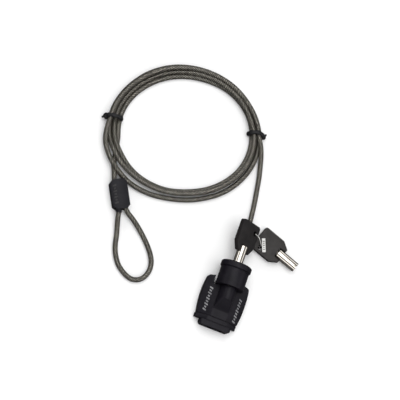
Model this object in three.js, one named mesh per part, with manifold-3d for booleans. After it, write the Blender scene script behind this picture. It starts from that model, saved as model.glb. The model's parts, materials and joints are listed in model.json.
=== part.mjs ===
// Laptop cable lock: a key-operated port lock on a coiled steel cable, with a key in the lock and a spare
// on a wire loop. Millimetres, +Z up. The lock axis runs along Y at height AXIS_Z, the key end is +Y and
// the port face is -Y.
// The flat base of the head and the table the cable lies on are z = 0.
import * as THREE from "three";
import { mergeVertices } from "three/addons/utils/BufferGeometryUtils.js";
import Module from "manifold-3d";

const wasm = await Module();
wasm.setup();

// ---- driving dimensions -------------------------------------------------------------------------

const GAP = 0.3; // between pieces that touch or slide

// Barrel, flange and lock core
const SEAT_Y = 11.0; // the housing face that the barrel stands on
const FLANGE_R = 14.85;
const FLANGE_T = 5.7;
const FLANGE_CHAMFER = 0.8;
const BARREL_R = 13.7;
const BARREL_LENGTH = 17.1;
const AXIS_Z = FLANGE_R + 0.25; // the flange rim just clears the table
const CASE_R = 6.6;
const CASE_WALL = 1.0;
const FACE_LIP_T = 1.4;
const PIN_COUNT = 7;
const PIN_R = 0.55;
const PIN_PITCH_R = 4.1;
const KEY_PIN_LENGTH = 5.2;
const DRIVER_LENGTH = 3.8;
const SPRING_LENGTH = 4.2;
const SPRING_WIRE_R = 0.17;
const SPRING_TURNS = 4;
const RETAINER_T = 1.2;
const POST_LENGTH = 4.2;
const SHAFT_R = 2.4;

// Head housing
const HEAD_HALF_WIDTH_TIP = 20.6;
const HEAD_HALF_WIDTH_MID = 22.0;
const HEAD_HALF_WIDTH_PORT = 19.9;
const HEAD_LENGTH = 30.2; // from the barrel seat to the port collar
const WING_EDGE_CHAMFER = 1.6;
const WING_REACH = 7.4; // how far the wing tips stand beside the barrel
const WING_EDGE_Z = 7.2; // wing height at its outer edge
const WING_ROOT_Z = 13.2; // wing height where the boss starts
const BASE_T = 2.4;
const BOSS_HALF_WIDTH = 7.8;
const BOSS_TOP_Z = 24.6;
const SCOOP_START = 12.2; // from the barrel seat to where the boss starts to slope down
const SCOOP_RUN = 10.4;
const SCOOP_TOP = 0.9; // the slope starts this far under the crown of the boss
const COLLAR_T = 4.1;
const EAR_HALF_WIDTH = 20.5;
const COLLAR_TOP_Z = 12.6;
const SCREW_R = 1.2;
const SCREW_HEAD_R = 2.2;
const SCREW_HEAD_T = 1.2;
const SCREW_LENGTH = 6.8;
const SCREW_SPOTS = [[-16.6, -15.5], [16.6, -15.5], [-17.0, 9.0], [17.0, 9.0]];

// Port block
const PORT_W = 30.8;
const PORT_H = 11.6;
const PORT_Z = 6.6; // height of its middle
const PORT_REACH = 5.2;
const STUD_SPACING = 24.99; // jack posts of a nine or fifteen way port
const STUD_HOLE_R = 1.6;
const SHELL_W = 17.6;
const SHELL_H = 9.0;
const SHELL_TAPER = 1.2; // the shell narrows by this at each lower corner
const PORT_CORNER_R = 2.6; // seen from the port
const PORT_NOSE_R = 3.2; // seen from above

// Scroll cam and latches
const CAM_Y1 = 6.4; // the cam face nearer the key
const CAM_R = 6.2;
const CAM_T = 3.0;
const CAM_GROOVE_DEPTH = 1.9;
const FOLLOWER_R = 0.6;
const FOLLOWER_OUT = 4.6; // follower radius at rest
const LATCH_TRAVEL = 1.6; // over the quarter turn
const TURN = Math.PI / 2;
const TANG_SIDE = 3.0;
const LATCH_T = 2.6;
const LATCH_HOLD = 1.0; // latch metal round its follower
const LATCH_TOP = 1.3; // above the lock axis
const ARM_IN = 8.3;
const ARM_OUT = 11.5;
const ARM_H = 4.2;

// Keys
const KEY_TUBE_R = 4.75;
const KEY_TUBE_WALL = 1.1;
const KEY_BORE_DEPTH = 9.0;
const KEY_BOW_W = 25.0;
const KEY_BOW_SIDE = 22.0; // straight sides, from the far end
const KEY_BOW_L = 29.6;
const KEY_BOW_T = 4.5;
const KEY_BOW_TIP_HALF = 7.6;
const KEY_NOTCH_DEPTH = 6.4;
const KEY_HOLE_R = 2.5;
const KEY_HOLE_BACK = 8.0; // from the far end
const KEY_HOLE_SIDE = 7.6; // from the key's axis
const KEY_CORNER_R = 2.4;
const KEY_STEM_R = 1.5; // the tube's solid stem inside the bow
const KEY_STEM_L = 6.0;
const KEY_REACH = 16.4; // tube beyond the prongs
const KEY_INSERTED = 3.7;
const KEY_ROLL = Math.PI / 5; // the bow's +X side leans down
const KEY_2_END = [13.0, 69.6, 3.65]; // middle of the spare key's far edge
const KEY_2_HEADING = -19.4; // degrees from +X
const KEY_2_PITCH = 2.8; // degrees, nose up
const LOOP_WIRE_R = 0.5;
const TAG_W = 3.4;
const TAG_L = 13.2;
const TAG_T = 0.5;
const TAG_TURN = 0.37;
const TAG_SPOT = [19.9, 62.9, 7.0];

// Cable and what is on it
const CABLE_R = 2.4;
const STRAND_R = 1.75;
const ANCHOR_X = 3.0; // the cable leaves the flange here, clear of the turning key
const ANCHOR_DROP = 9.4;
const TERMINAL_R = 2.5;
const TERMINAL_LENGTH = 9;
const SOCKET_DEPTH = 1.8; // how far the cable jacket goes into the flange
const COIL_CENTRE = [-88.8, 136.8];
const COIL_OUTER = [77.1, 67.2]; // half axes
const COIL_HEADING = 22.4; // degrees from +X to the long axis
const COIL_INNER_SHARE = 0.815;
const COIL_H = 9.4;
const FERRULE_L = 28.6;
const FERRULE_W = 16.4;
const FERRULE_H = 10.4;
const FERRULE_CHAMFER = 3.2;
const FERRULE_MID = [-125.4, 57.6];
const FERRULE_HEADING = -61.4; // degrees from +X to its long axis
const SLEEVE_L = 19;
const SLEEVE_W = 11.8;
const SLEEVE_H = 6.4;
const SLEEVE_BORE_OUT = 2.9; // each cable bore from the sleeve's middle
const TIE_HALF = 8.6; // half the strap's span across the bundle
const TIE_GRIP_Z = 5.2; // the strap rises straight to here, then leans in
const TIE_T = 1.0;
const TIE_W = 2.0;
const TIE_HEAD = [4.6, 5.6, 4.2];

// Routes of the cable's free stretches, the centre of the cable at each point. The tail starts in the flange.
const TAIL_ROUTE = [
  [2.9, 41, 5.3], [2.7, 47, 5.0], [2.6, 55, 4.4], [1.5, 64.1, 3.6], [1.2, 73.2, 2.9],
  [0.8, 82.2, 2.5], [0, 91.2, 2.45], [-1.2, 101.2, 2.45], [-3, 113.2, 2.45], [-4.8, 124.2, 2.45],
  [-7.2, 134.2, 2.6], [-9.7, 142.6, 3.2],
];
const LEAD_ROUTE = [[-137.3, 77.9, 3.6], [-136.5, 75.4, 4.4], [-135.4, 73.4, 5.0]];
const LOOP_ROUTE = [
  [-121.2, 41.8, 5.1], [-118.9, 35.2, 4.4], [-116.7, 28.7, 3.2], [-114.2, 20.3, 2.5], [-112.4, 12.2, 2.45],
  [-109.2, 4.2, 2.45], [-103.4, -4.1, 2.45], [-95.4, -9.8, 2.45], [-87.8, -12.3, 2.45], [-81.5, -11.6, 2.45],
  [-76.3, -7.5, 2.45], [-74, 0.4, 2.45], [-75, 8.9, 2.45], [-79.1, 16.5, 2.45], [-86.2, 24.8, 2.5],
  [-95.5, 33.1, 3.2], [-105, 40, 4.6], [-111.2, 44.1, 5.1],
];
const KEY_LOOP_ROUTE = [
  [6.15, 68.7, 10.6], [8.1, 68.5, 13.2], [11.9, 67.0, 12.4], [15.3, 64.1, 9.9], [17.7, 61.4, 7.5],
  [18.0, 59.8, 4.0], [16.9, 60.5, 0.95], [13.8, 63.6, 0.62], [10.7, 66.3, 1.1], [8.4, 67.8, 3.8],
  [6.6, 68.4, 5.9], [5.1, 68.7, 8.1],
];

// ---- places worked out from them ----------------------------------------------------------------

const BARREL_Y0 = SEAT_Y + GAP;
const BARREL_Y1 = BARREL_Y0 + BARREL_LENGTH;
const FLANGE_Y0 = BARREL_Y1 + GAP;
const FACE_Y = FLANGE_Y0 + FLANGE_T;
const CASE_Y1 = FACE_Y - GAP;
const CASE_BORE_R = CASE_R - CASE_WALL;
const ROTOR_R = CASE_BORE_R - GAP;
const PIN_HOLE_R = PIN_R + GAP;
const KEY_BORE_R = KEY_TUBE_R - KEY_TUBE_WALL;
const POST_R = KEY_BORE_R - GAP;
const ROTOR_TOP_Y = CASE_Y1 - POST_LENGTH;
const ROTOR_DISC_T = KEY_PIN_LENGTH + GAP / 2;
const SHEAR_Y = ROTOR_TOP_Y - ROTOR_DISC_T; // the rotor turns on this side, the drivers stay on the other
const DRIVER_Y1 = SHEAR_Y - GAP;
const DRIVER_BLOCK_T = DRIVER_LENGTH + SPRING_LENGTH + 2 * GAP;
const RETAINER_Y1 = DRIVER_Y1 - DRIVER_BLOCK_T - GAP;
const CASE_Y0 = BARREL_Y0;
const SHAFT_BORE_R = SHAFT_R + GAP;
const TIP_Y = SEAT_Y + WING_REACH;
const HEAD_Y0 = SEAT_Y - HEAD_LENGTH;
const COLLAR_Y1 = HEAD_Y0 - GAP;
const COLLAR_Y0 = COLLAR_Y1 - COLLAR_T;
const PORT_Y1 = COLLAR_Y0 - GAP;
const PORT_Y0 = PORT_Y1 - PORT_REACH;
const NOTCH_HALF = BARREL_R + 0.8;
const TAIL_START = [ANCHOR_X, FACE_Y - SOCKET_DEPTH + GAP, AXIS_Z - ANCHOR_DROP];
const CLIP_OUT = FOLLOWER_OUT + FOLLOWER_R + LATCH_HOLD; // outer edge of the latch plate beside the cam
const CAM_Y0 = CAM_Y1 - CAM_T;
const LATCH_Y1 = CAM_Y0 - GAP;
const LATCH_Y0 = LATCH_Y1 - LATCH_T;
const LATCH_TIP_Y = COLLAR_Y0 + 1.2;

// ---- materials ----------------------------------------------------------------------------------

const paint = (color, roughness, metalness) =>
  new THREE.MeshStandardMaterial({ color, roughness, metalness });
const BLACK_SATIN = paint(0x29272d, 0.4, 0.0);
const BLACK_RUBBER = paint(0x1c1c20, 0.75, 0.0);
const BLACK_BOW = paint(0x2d2a2c, 0.6, 0.0);
const NICKEL = paint(0xd5d0c2, 0.25, 1.0);
const STEEL = paint(0x9a9a9c, 0.35, 1.0);
const BRASS = paint(0xb5913f, 0.35, 1.0);
const CLEAR_VINYL = paint(0x6e6a62, 0.3, 0.2);
const WHITE_TAG = paint(0xd8d8d2, 0.6, 0.0);

// ---- solid helpers ------------------------------------------------------------------------------

// A three.js geometry as a manifold-3d solid.
function toSolid(geometry) {
  const bare = geometry.index ? geometry.toNonIndexed() : geometry.clone();
  bare.deleteAttribute("normal");
  bare.deleteAttribute("uv");
  const merged = mergeVertices(bare, 1e-4);
  return new wasm.Manifold(new wasm.Mesh({
    numProp: 3,
    vertProperties: merged.attributes.position.array,
    triVerts: new Uint32Array(merged.index.array),
  }));
}

// A manifold-3d solid as a three.js geometry.
function toGeometry(solid) {
  const mesh = solid.getMesh();
  const geometry = new THREE.BufferGeometry();
  geometry.setAttribute("position", new THREE.BufferAttribute(mesh.vertProperties, 3));
  geometry.setIndex(new THREE.BufferAttribute(mesh.triVerts, 1));
  return geometry;
}

const join = (...pieces) => toGeometry(pieces.map(toSolid).reduce((a, b) => a.add(b)));
const cut = (base, ...tools) => toGeometry(tools.map(toSolid).reduce((a, b) => a.subtract(b), toSolid(base)));
const common = (...pieces) => toGeometry(pieces.map(toSolid).reduce((a, b) => a.intersect(b)));

// A solid turned about the Y axis from a closed [radius, y] profile, listed anticlockwise.
function turned(profile, sides = 48) {
  const points = profile.map(([r, y]) => new THREE.Vector2(r, y));
  return new THREE.LatheGeometry([...points, points[0]], sides);
}

// A plain ring or disc about the Y axis.
function ring(outer, inner, y0, y1, sides = 48) {
  if (inner > 0) return turned([[inner, y0], [outer, y0], [outer, y1], [inner, y1]], sides);
  return rod(outer, y0, y1, 0, 0, sides);
}

// A round rod along Y, its axis at (x, z).
function rod(radius, y0, y1, x = 0, z = 0, sides = 24) {
  return new THREE.CylinderGeometry(radius, radius, y1 - y0, sides).translate(x, (y0 + y1) / 2, z);
}

// A round rod along Z.
function post(radius, z0, z1, x, y, sides = 16) {
  const solid = new THREE.CylinderGeometry(radius, radius, z1 - z0, sides);
  return solid.rotateX(Math.PI / 2).translate(x, y, (z0 + z1) / 2);
}

// A box between two corners.
function box([x0, y0, z0], [x1, y1, z1]) {
  const solid = new THREE.BoxGeometry(x1 - x0, y1 - y0, z1 - z0);
  return solid.translate((x0 + x1) / 2, (y0 + y1) / 2, (z0 + z1) / 2);
}

// An outline in the XY plane made solid between two heights.
function slab(shape, z0, z1, curveSegments = 8) {
  const solid = new THREE.ExtrudeGeometry(shape, { depth: z1 - z0, bevelEnabled: false, curveSegments });
  return solid.translate(0, 0, z0);
}

// A section drawn in X and Z, carried along Y.
function carried(points, y0, y1) {
  const shape = new THREE.Shape(points.map(([x, z]) => new THREE.Vector2(x, z)));
  const solid = new THREE.ExtrudeGeometry(shape, { depth: y1 - y0, bevelEnabled: false });
  return solid.rotateX(Math.PI / 2).translate(0, y1, 0);
}

const curveThrough = (points, closed) =>
  new THREE.CatmullRomCurve3(points.map((p) => new THREE.Vector3(...p)), closed, "centripetal");

// An endless round tube along a closed curve through the given points.
const endlessTube = (points, radius, sides, steps) =>
  new THREE.TubeGeometry(curveThrough(points, true), steps, radius, sides, true);

// A round tube with two ends along a curve through the given points.
function tube(points, radius, sides, steps) {
  const curve = curveThrough(points, false);
  const section = new THREE.Shape();
  for (let i = 0; i < sides; i++) {
    const a = (2 * Math.PI * i) / sides;
    const corner = [radius * Math.cos(a), radius * Math.sin(a)];
    if (i) section.lineTo(...corner);
    else section.moveTo(...corner);
  }
  section.closePath();
  return new THREE.ExtrudeGeometry(section, { steps, bevelEnabled: false, extrudePath: curve });
}

function part(name, geometry, material) {
  const mesh = new THREE.Mesh(geometry, material);
  mesh.name = name;
  return mesh;
}

// Places of the pin chambers around the lock axis, as [x, z].
const pinSpots = Array.from({ length: PIN_COUNT }, (_, i) => {
  const a = TURN + (2 * Math.PI * i) / PIN_COUNT;
  return [PIN_PITCH_R * Math.cos(a), PIN_PITCH_R * Math.sin(a)];
});

// ---- lock core, in a frame whose Y axis is the lock axis ----------------------------------------

function flangeCollar() {
  const c = FLANGE_CHAMFER;
  const body = turned([
    [CASE_R + GAP, FLANGE_Y0], [FLANGE_R - c, FLANGE_Y0], [FLANGE_R, FLANGE_Y0 + c], [FLANGE_R, FACE_Y - c],
    [FLANGE_R - c, FACE_Y], [CASE_R + GAP, FACE_Y],
  ], 64);
  const strandHole = rod(STRAND_R + GAP, FLANGE_Y0 - 1, FACE_Y, ANCHOR_X, -ANCHOR_DROP);
  const jacketSocket = rod(CABLE_R + GAP, FACE_Y - SOCKET_DEPTH, FACE_Y + 1, ANCHOR_X, -ANCHOR_DROP);
  return cut(body, strandHole, jacketSocket);
}

function barrel() {
  const body = ring(BARREL_R, CASE_R + GAP, BARREL_Y0, BARREL_Y1, 64);
  const bottom = BARREL_Y1 - TERMINAL_LENGTH - 2 * GAP;
  const pocket = rod(TERMINAL_R + GAP, bottom, BARREL_Y1 + 1, ANCHOR_X, -ANCHOR_DROP);
  return cut(body, pocket);
}

function cableTerminal() {
  const swage = rod(TERMINAL_R, BARREL_Y1 - TERMINAL_LENGTH - GAP, BARREL_Y1 - GAP, ANCHOR_X, -ANCHOR_DROP);
  const strand = rod(STRAND_R, BARREL_Y1 - 1, FACE_Y - SOCKET_DEPTH - GAP, ANCHOR_X, -ANCHOR_DROP);
  return join(swage, strand);
}

function statorCase() {
  return turned([
    [CASE_BORE_R, CASE_Y0], [CASE_R, CASE_Y0], [CASE_R, CASE_Y1], [KEY_TUBE_R + GAP, CASE_Y1],
    [KEY_TUBE_R + GAP, CASE_Y1 - FACE_LIP_T], [CASE_BORE_R, CASE_Y1 - FACE_LIP_T],
  ]);
}

// The rotor: centre post for the key, pin disc, and the shaft with a square tang that drives the cam.
function rotor() {
  const body = turned([
    [0, CAM_Y1 + GAP], [SHAFT_R, CAM_Y1 + GAP], [SHAFT_R, SHEAR_Y], [ROTOR_R, SHEAR_Y],
    [ROTOR_R, ROTOR_TOP_Y], [POST_R, ROTOR_TOP_Y], [POST_R, CASE_Y1], [0, CASE_Y1],
  ]);
  const side = TANG_SIDE / 2;
  const tang = box([-side, CAM_Y0 + GAP, -side], [side, CAM_Y1 + 1, side]);
  const holes = pinSpots.map(([x, z]) => rod(PIN_HOLE_R, SHEAR_Y - 1, ROTOR_TOP_Y + 1, x, z, 12));
  return cut(join(body, tang), ...holes);
}

function driverBlock() {
  const body = ring(ROTOR_R, SHAFT_BORE_R, DRIVER_Y1 - DRIVER_BLOCK_T, DRIVER_Y1);
  return cut(body, ...pinSpots.map(([x, z]) => rod(PIN_HOLE_R, 0, DRIVER_Y1 + 1, x, z, 12)));
}

// A small coil spring in a pin chamber, under its driver.
function pinSpring([x, z]) {
  const y0 = DRIVER_Y1 - DRIVER_BLOCK_T + GAP + SPRING_WIRE_R;
  const rise = SPRING_LENGTH - 2 * SPRING_WIRE_R;
  const perTurn = 8;
  const points = Array.from({ length: SPRING_TURNS * perTurn + 1 }, (_, i) => {
    const a = (2 * Math.PI * i) / perTurn;
    const reach = PIN_R - SPRING_WIRE_R;
    return [x + reach * Math.cos(a), y0 + (rise * i) / (SPRING_TURNS * perTurn), z + reach * Math.sin(a)];
  });
  return tube(points, SPRING_WIRE_R, 4, SPRING_TURNS * perTurn);
}

// One spiral groove: the cut is a ribbon of round cutters' hulls from the follower's rest place inwards.
function camGroove(start) {
  const steps = 12;
  const cutter = (i) => {
    const share = -0.06 + (1.12 * i) / steps;
    const r = FOLLOWER_OUT - LATCH_TRAVEL * share;
    const a = start - TURN * share;
    return rod(FOLLOWER_R + GAP, CAM_Y0 - 1, CAM_Y0 + CAM_GROOVE_DEPTH, r * Math.cos(a), r * Math.sin(a), 12);
  };
  const link = (_, i) => wasm.Manifold.hull([toSolid(cutter(i)), toSolid(cutter(i + 1))]);
  return toGeometry(Array.from({ length: steps }, link).reduce((a, b) => a.add(b)));
}

function scrollCam() {
  const side = TANG_SIDE / 2 + GAP;
  const socket = box([-side, CAM_Y0 - 1, -side], [side, CAM_Y1 + 1, side]);
  return cut(ring(CAM_R, 0, CAM_Y0, CAM_Y1, 48), camGroove(0), camGroove(Math.PI), socket);
}

function camScrew() {
  return ring(TANG_SIDE / 2 + GAP - 0.1, 0, LATCH_Y1 - 1.2, LATCH_Y1, 16);
}

// ---- latches ------------------------------------------------------------------------------------

// The +X latch: an upright plate with a follower in the cam groove, and an arm to the jack post.
function latch() {
  const zoneZ = PORT_Z - AXIS_Z;
  const inner = FOLLOWER_OUT - FOLLOWER_R - 0.4;
  const plate = carried([
    [inner, -2.2], [ARM_IN, zoneZ + ARM_H / 2], [ARM_IN, zoneZ - ARM_H / 2], [ARM_OUT, zoneZ - ARM_H / 2],
    [ARM_OUT, zoneZ + ARM_H / 2], [CLIP_OUT, -1.6], [CLIP_OUT, LATCH_TOP], [inner, LATCH_TOP],
  ], LATCH_Y0, LATCH_Y1);
  const follower = rod(FOLLOWER_R, LATCH_Y1 - 1, CAM_Y0 + CAM_GROOVE_DEPTH - GAP, FOLLOWER_OUT, 0, 12);
  const arm = box([ARM_IN, LATCH_TIP_Y, zoneZ - ARM_H / 2], [ARM_OUT, LATCH_Y1 - 0.5, zoneZ + ARM_H / 2]);
  const hook = post(STUD_HOLE_R, zoneZ - ARM_H, zoneZ + ARM_H, STUD_SPACING / 2, LATCH_TIP_Y, 16);
  return cut(join(plate, follower, arm), hook);
}

// ---- housing ------------------------------------------------------------------------------------

// The head's outline seen from above, with gently curved sides and a notch for the barrel.
function headOutline() {
  const mid = (TIP_Y + HEAD_Y0) / 2;
  const bulge = 2 * HEAD_HALF_WIDTH_MID - (HEAD_HALF_WIDTH_PORT + HEAD_HALF_WIDTH_TIP) / 2;
  const shape = new THREE.Shape();
  shape.moveTo(-HEAD_HALF_WIDTH_PORT, HEAD_Y0);
  shape.lineTo(HEAD_HALF_WIDTH_PORT, HEAD_Y0);
  shape.quadraticCurveTo(bulge, mid, HEAD_HALF_WIDTH_TIP, TIP_Y - 1.6);
  shape.lineTo(HEAD_HALF_WIDTH_TIP - 1.2, TIP_Y - 0.4);
  shape.lineTo(NOTCH_HALF, TIP_Y + 0.6);
  shape.lineTo(NOTCH_HALF, SEAT_Y);
  shape.lineTo(-NOTCH_HALF, SEAT_Y);
  shape.lineTo(-NOTCH_HALF, TIP_Y + 0.6);
  shape.lineTo(-HEAD_HALF_WIDTH_TIP + 1.2, TIP_Y - 0.4);
  shape.lineTo(-HEAD_HALF_WIDTH_TIP, TIP_Y - 1.6);
  shape.quadraticCurveTo(-bulge, mid, -HEAD_HALF_WIDTH_PORT, HEAD_Y0);
  return shape;
}

function housingTop() {
  const far = HEAD_HALF_WIDTH_MID + 1;
  const z0 = BASE_T + GAP;
  const edge = [HEAD_HALF_WIDTH_MID - 1, WING_EDGE_Z];
  const wings = carried([
    [-far, z0], [far, z0], [far, WING_EDGE_Z - WING_EDGE_CHAMFER], edge, [BOSS_HALF_WIDTH, WING_ROOT_Z],
    [-BOSS_HALF_WIDTH, WING_ROOT_Z], [-edge[0], edge[1]], [-far, WING_EDGE_Z - WING_EDGE_CHAMFER],
  ], HEAD_Y0 - 1, TIP_Y + 1);
  const boss = carried([[BOSS_HALF_WIDTH, z0], ...bossCrown(), [-BOSS_HALF_WIDTH, z0]], HEAD_Y0, SEAT_Y);
  const slopeY = SEAT_Y - SCOOP_START;
  const scoop = slopedCut(slopeY, BOSS_TOP_Z - SCOOP_TOP, slopeY - SCOOP_RUN, WING_ROOT_Z);
  const shell = join(common(slab(headOutline(), z0, AXIS_Z + BARREL_R, 12), wings), cut(boss, scoop));
  return cut(shell, ...housingCavities(z0));
}

// The rounded top of the boss, as [x, z] from its +X side to its -X side.
function bossCrown() {
  const steps = 20;
  return Array.from({ length: steps + 1 }, (_, i) => {
    const a = (Math.PI * i) / steps;
    return [BOSS_HALF_WIDTH * Math.cos(a), WING_ROOT_Z + (BOSS_TOP_Z - WING_ROOT_Z) * Math.sin(a)];
  });
}

// Everything above a slope that falls from (y1, z1) towards -Y to (y0, z0), and level from there on.
function slopedCut(y1, z1, y0, z0) {
  const top = 40;
  const shape = new THREE.Shape([[y1, z1], [y1, top], [HEAD_Y0 - 5, top], [HEAD_Y0 - 5, z0], [y0, z0]]
    .map(([y, z]) => new THREE.Vector2(y, z)));
  const width = 2 * BOSS_HALF_WIDTH + 4;
  const solid = new THREE.ExtrudeGeometry(shape, { depth: width, bevelEnabled: false });
  return solid.rotateY(Math.PI / 2).rotateX(Math.PI / 2).translate(-width / 2, 0, 0);
}

// The hollows of the housing: shaft bore, cam chamber, latch chamber, arm channels and screw holes.
function housingCavities(z0) {
  const camTop = [CAM_R + GAP, CAM_Y1 + GAP];
  const follow = CLIP_OUT + GAP;
  const low = z0 - 1;
  const armTop = PORT_Z + ARM_H / 2 + GAP;
  const armInner = ARM_IN - LATCH_TRAVEL - GAP;
  const hollows = [
    rod(SHAFT_BORE_R, 0, SEAT_Y + 1, 0, AXIS_Z),
    rod(camTop[0], LATCH_Y0, camTop[1], 0, AXIS_Z, 48),
    box([-camTop[0], CAM_Y0 - GAP, low], [camTop[0], camTop[1], AXIS_Z]),
    box([-follow, LATCH_Y0 - GAP, low], [follow, CAM_Y0, AXIS_Z + LATCH_TOP + GAP]),
    box([-ARM_OUT - GAP, LATCH_Y0 - GAP, low], [ARM_OUT + GAP, CAM_Y0, armTop]),
    carried([
      [-ARM_OUT - 0.8, armTop - 0.1], [ARM_OUT + 0.8, armTop - 0.1],
      [follow, AXIS_Z - 1.0], [-follow, AXIS_Z - 1.0],
    ], LATCH_Y0 - GAP, CAM_Y0),
  ];
  for (const side of [-1, 1]) {
    const [x0, x1] = [side * armInner, side * (ARM_OUT + GAP)].sort((a, b) => a - b);
    hollows.push(box([x0, HEAD_Y0 - 1, low], [x1, LATCH_Y0, armTop]));
  }
  for (const [x, y] of SCREW_SPOTS) {
    hollows.push(post(SCREW_R + GAP, low, SCREW_LENGTH + 2 * GAP, x, y, 12));
  }
  return hollows;
}

function housingBase() {
  const plate = slab(headOutline(), 0, BASE_T, 12);
  const holes = SCREW_SPOTS.flatMap(([x, y]) => [
    post(SCREW_R + GAP, -1, BASE_T + 1, x, y, 12),
    post(SCREW_HEAD_R + GAP, -1, SCREW_HEAD_T + 2 * GAP, x, y),
  ]);
  return cut(plate, ...holes);
}

function baseScrew([x, y]) {
  const head = post(SCREW_HEAD_R, GAP, GAP + SCREW_HEAD_T, x, y);
  const drive = post(0.8, -1, GAP + 0.7, x, y, 6);
  return cut(join(head, post(SCREW_R, GAP, SCREW_LENGTH + GAP, x, y, 12)), drive);
}

// The collar between the housing and the port block, with an ear at each lower corner.
function portCollar() {
  const body = carried([
    [-EAR_HALF_WIDTH, 0], [EAR_HALF_WIDTH, 0], [EAR_HALF_WIDTH, 4.4],
    [HEAD_HALF_WIDTH_PORT, WING_EDGE_Z - 0.6],
    [BOSS_HALF_WIDTH + 2, COLLAR_TOP_Z], [-BOSS_HALF_WIDTH - 2, COLLAR_TOP_Z],
    [-HEAD_HALF_WIDTH_PORT, WING_EDGE_Z - 0.6], [-EAR_HALF_WIDTH, 4.4],
  ], COLLAR_Y0, COLLAR_Y1);
  const channels = [-1, 1].flatMap((side) => {
    const edges = [side * (ARM_IN - LATCH_TRAVEL - GAP), side * (ARM_OUT + GAP)].sort((a, b) => a - b);
    const z = [PORT_Z - ARM_H / 2 - GAP, PORT_Z + ARM_H / 2 + GAP];
    return [
      box([edges[0], LATCH_TIP_Y - GAP, z[0]], [edges[1], COLLAR_Y1 + 1, z[1]]),
      rod(STUD_HOLE_R + GAP, COLLAR_Y0 - 1, COLLAR_Y1 + 1, (side * STUD_SPACING) / 2, PORT_Z, 16),
    ];
  });
  return cut(body, ...channels);
}

// The block that covers the port: a hollow for the connector's shell and a hole for each jack post.
function portBlock() {
  const r = PORT_CORNER_R;
  const [w, h] = [PORT_W / 2, PORT_H / 2];
  const outline = new THREE.Shape();
  outline.moveTo(-w + r, -h);
  outline.lineTo(w - r, -h);
  outline.absarc(w - r, -h + r, r, -TURN, 0, false);
  outline.absarc(w - r, h - r, r, 0, TURN, false);
  outline.absarc(-w + r, h - r, r, TURN, 2 * TURN, false);
  outline.absarc(-w + r, -h + r, r, 2 * TURN, 3 * TURN, false);
  const settings = { depth: PORT_REACH, bevelEnabled: false, curveSegments: 5 };
  const long = new THREE.ExtrudeGeometry(outline, settings);
  const body = common(long.rotateX(Math.PI / 2).translate(0, PORT_Y1, PORT_Z), portPlan());
  const [a, b] = [SHELL_W / 2, SHELL_H / 2];
  const low = a - SHELL_TAPER;
  const section = [[-low, PORT_Z - b], [low, PORT_Z - b], [a, PORT_Z + b], [-a, PORT_Z + b]];
  const shell = carried(section, PORT_Y0 - 1, PORT_Y1 + 1);
  const stud = (side) => rod(STUD_HOLE_R, PORT_Y0 - 1, PORT_Y1 + 1, (side * STUD_SPACING) / 2, PORT_Z, 16);
  return cut(body, shell, stud(-1), stud(1));
}

// The port block's outline seen from above: its two corners at the port are rounded.
function portPlan() {
  const r = PORT_NOSE_R;
  const w = PORT_W / 2;
  const shape = new THREE.Shape();
  shape.moveTo(w, PORT_Y1);
  shape.lineTo(-w, PORT_Y1);
  shape.absarc(-w + r, PORT_Y0 + r, r, 2 * TURN, 3 * TURN, false);
  shape.absarc(w - r, PORT_Y0 + r, r, 3 * TURN, 4 * TURN, false);
  return slab(shape, 0, PORT_Z + PORT_H, 6);
}

// ---- keys: drawn with the axis on +X from the far edge of the bow, the bow flat in XY -----------

// The bow: a long hexagon with a notch for the tube between two prongs, and a hole for the loop.
function keyBow() {
  const w = KEY_BOW_W / 2;
  const r = KEY_CORNER_R;
  const notch = KEY_TUBE_R + GAP;
  const shape = new THREE.Shape();
  shape.moveTo(r, -w);
  shape.lineTo(KEY_BOW_SIDE, -w);
  shape.lineTo(KEY_BOW_L, -KEY_BOW_TIP_HALF);
  shape.lineTo(KEY_BOW_L, -notch);
  shape.lineTo(KEY_BOW_L - KEY_NOTCH_DEPTH, -notch);
  shape.lineTo(KEY_BOW_L - KEY_NOTCH_DEPTH, notch);
  shape.lineTo(KEY_BOW_L, notch);
  shape.lineTo(KEY_BOW_L, KEY_BOW_TIP_HALF);
  shape.lineTo(KEY_BOW_SIDE, w);
  shape.lineTo(r, w);
  shape.absarc(r, w - r, r, TURN, 2 * TURN, false);
  shape.lineTo(0, -w + r);
  shape.absarc(r, -w + r, r, 2 * TURN, 3 * TURN, false);
  const plate = slab(shape, -KEY_BOW_T / 2, KEY_BOW_T / 2, 5);
  const loopHole = post(KEY_HOLE_R, -KEY_BOW_T, KEY_BOW_T, KEY_HOLE_BACK, -KEY_HOLE_SIDE, 20);
  return cut(plate, loopHole, stemHole());
}

// The hole in the bow that the tube's solid stem is pressed into.
function stemHole() {
  const bottom = KEY_BOW_L - KEY_NOTCH_DEPTH - KEY_STEM_L - GAP;
  return rod(KEY_STEM_R + GAP, bottom, KEY_BOW_L, 0, 0, 16).rotateZ(-TURN);
}

// The nickel tube: open at the nose with a locating notch, closed at the back with a stem into the bow.
function keyTube() {
  const back = KEY_BOW_L - KEY_NOTCH_DEPTH + GAP;
  const nose = KEY_BOW_L + KEY_REACH;
  const body = turned([
    [0, back - KEY_STEM_L], [KEY_STEM_R, back - KEY_STEM_L], [KEY_STEM_R, back], [KEY_TUBE_R - 0.8, back],
    [KEY_TUBE_R, back + 0.8], [KEY_TUBE_R, nose], [KEY_BORE_R, nose], [KEY_BORE_R, nose - KEY_BORE_DEPTH],
    [0, nose - KEY_BORE_DEPTH],
  ], 32);
  const mark = box([-0.8, nose - 2.6, KEY_BORE_R - 1], [0.8, nose + 1, KEY_TUBE_R + 1]);
  return cut(body, mark).rotateZ(-TURN);
}

function key(name) {
  const group = new THREE.Group();
  group.add(part(name + "_bow", keyBow(), BLACK_BOW));
  group.add(part(name + "_tube", keyTube(), NICKEL));
  return group;
}

// ---- cable and what is on it --------------------------------------------------------------------

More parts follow.
